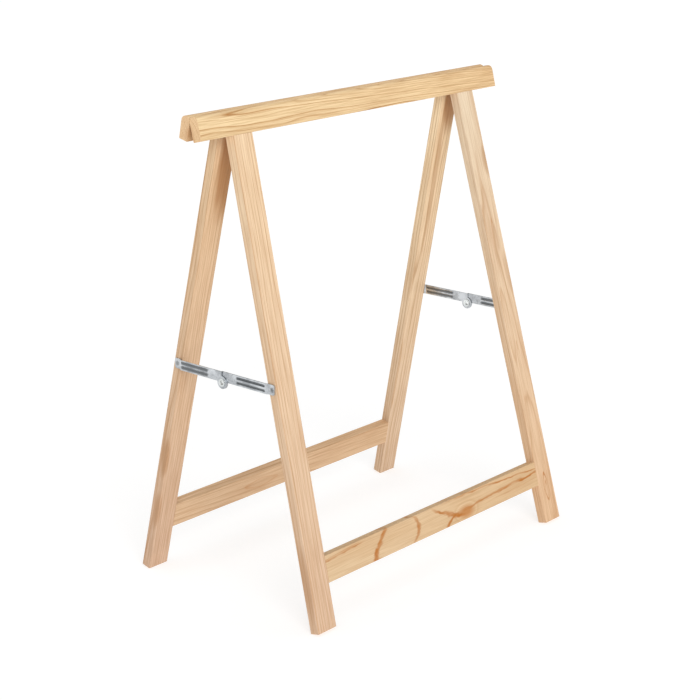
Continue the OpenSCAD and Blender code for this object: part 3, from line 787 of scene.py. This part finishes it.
def eyelet_shape(outer):
    """Half of the hollow eyelet: a rolled flange on the arm's own side and the tube through its sheet."""
    level = outer_level if outer else inner_level
    through = sheet + layer_gap / 2 - halves_gap
    shape = bmesh.new()
    outline = [(eyelet_hole_r, 0), (eyelet_tube_r, 0), (eyelet_tube_r, through), (eyelet_flange_r, through),
               (eyelet_flange_r, through + eyelet_flange), (eyelet_hole_r, through + eyelet_flange)]
    points = [shape.verts.new((r, 0, z)) for r, z in outline]
    ring = [shape.edges.new((a, b)) for a, b in zip(points, points[1:] + points[:1])]
    bmesh.ops.spin(shape, geom=points + ring, cent=(0, 0, 0), axis=(0, 0, 1), dvec=(0, 0, 0),
                   angle=2 * math.pi, steps=64, use_merge=True)
    bmesh.ops.remove_doubles(shape, verts=shape.verts, dist=1e-6)
    bmesh.ops.recalc_face_normals(shape, faces=shape.faces)
    soften(shape, 0.00035, chosen=lambda e: min(v.co.z for v in e.verts) > through + eyelet_flange / 2
           or (max(math.hypot(v.co.x, v.co.y) for v in e.verts) > 0.98 * eyelet_flange_r))
    if outer:
        place = Matrix.Translation((stay_y, -pivot_drop, level - layer_gap / 2 + halves_gap))
    else:
        place = (Matrix.Translation((stay_y, -pivot_drop, level + sheet + layer_gap / 2 - halves_gap))
                 @ Matrix.Rotation(math.pi, 4, "X"))
    bmesh.ops.transform(shape, matrix=place, verts=shape.verts)
    return shape


# The stay's darker rib tone is painted shade for its pressed grooves
stay_zinc = zinc_steel("zinc-plated sheet steel, stay", "#d8dce0", "#abafb3", 0.32, rib_shade="#74787b")
eyelet_zinc = zinc_steel("zinc-plated steel, eyelet", "#eef2f1", "#cdd2d2", 0.24)
for end, way in ENDS.items():
    for side in SIDES:
        outer = (end == "left") == (side == "back")
        place = Matrix.Translation(arm_joint[f"{end}_{side}_arm_turn"]) @ Matrix((
            (0, 0, way, 0), (-1 if side == "back" else 1, 0, 0, 0), (0, 1, 0, 0), (0, 0, 0, 1)))
        body = f"{end}_stay_{side}_link"
        name = f"{end}_stay_{side}"
        finish_piece(arm_shape(outer), f"{name}_arm_steel", place, body, [f"{name}_arm"],
                     stay_zinc)
        finish_piece(eyelet_shape(outer), f"{name}_eyelet_steel", place, body, [f"{name}_eyelet"],
                     eyelet_zinc)
        screw = screw_shape(stay_screw_head_r, stay_screw_r, sheet - stay_screw_land,
                            stay_screw_depth + tab_gap + sheet, 0.0021)
        bmesh.ops.translate(screw, vec=(0, 0, tab_gap + sheet), verts=screw.verts)
        finish_piece(screw, f"{name}_screw_steel", place, f"{side}_frame", [f"{name}_screw"], screw_zinc)

# ---------- Floor, light and camera ----------
# A pale plain studio floor that glows a little, so that the underside of the wood isn't lost in shade, and
# a backdrop as pale above it. Broad soft suns stand to the left, to the right and overhead.

floor_paint, shader = new_material("matt white backdrop paper")
coords = add_node(floor_paint, "ShaderNodeTexCoord")
paper = add_node(floor_paint, "ShaderNodeTexNoise", {"Vector": coords.outputs["Object"], "Scale": 3.0})
paper_tone = add_node(floor_paint, "ShaderNodeValToRGB", {0: paper.outputs[0]}, stops=(
    (0.3, "#b0b0b0"), (0.7, "#b4b4b4")))
floor_paint.node_tree.links.new(paper_tone.outputs[0], shader.inputs["Base Color"])
shader.inputs["Roughness"].default_value = 1.0
shader.inputs["Specular IOR Level"].default_value = 0.0
shader.inputs["Emission Color"].default_value = linear("#ffffff")
shader.inputs["Emission Strength"].default_value = 0.64

sheet_of_floor = bmesh.new()
bmesh.ops.create_grid(sheet_of_floor, x_segments=8, y_segments=8, size=400)
bmesh.ops.translate(sheet_of_floor, vec=(0, 0, -0.0002), verts=sheet_of_floor.verts)
floor_mesh = bpy.data.meshes.new("floor")
sheet_of_floor.to_mesh(floor_mesh)
sheet_of_floor.free()
floor_mesh.materials.append(floor_paint)
floor = bpy.data.objects.new("floor", floor_mesh)
bpy.context.scene.collection.objects.link(floor)

for name, toward, wide, strength in (
        ("key_light", (-0.45, -0.80, 0.42), 35, 1.45), ("fill_light", (0.7, -0.5, 0.45), 60, 0.25),
        ("top_light", (-0.2, 0.1, 1.0), 70, 0.95)):
    lamp = bpy.data.lights.new(name, "SUN")
    lamp.angle = math.radians(wide)
    lamp.energy = strength
    holder = bpy.data.objects.new(name, lamp)
    holder.rotation_euler = Vector(toward).to_track_quat("Z", "Y").to_euler()
    bpy.context.scene.collection.objects.link(holder)

world = bpy.data.worlds.new("studio")
world.use_nodes = True
backdrop = world.node_tree.nodes["Background"]
backdrop.inputs["Color"].default_value = linear("#fbfbfa")
ray = add_node(world, "ShaderNodeLightPath")
glow = add_node(world, "ShaderNodeMapRange", {
    "Value": ray.outputs["Is Camera Ray"], "To Min": 0.36, "To Max": 1.05})
world.node_tree.links.new(glow.outputs[0], backdrop.inputs["Strength"])
bpy.context.scene.world = world
bpy.context.scene.view_settings.view_transform = "Standard"

# The camera stands about 2.9 m off, a little above the beam, and looks down along the spread of the legs
lens = bpy.data.cameras.new("camera")
lens.sensor_width = 36.0
lens.lens = 89.2
lens.shift_x = -0.0112
lens.shift_y = -0.0111
camera = bpy.data.objects.new("camera", lens)
heading, downward, tilt = math.radians(-47.31), math.radians(16.70), math.radians(-0.88)
camera.rotation_euler = (Matrix.Rotation(heading, 3, "Z") @ Matrix.Rotation(math.pi / 2 - downward, 3, "X")
                         @ Matrix.Rotation(tilt, 3, "Z")).to_euler()
camera.location = (-1.9478, -1.8054, 1.1411)
bpy.context.scene.collection.objects.link(camera)
bpy.context.scene.camera = camera
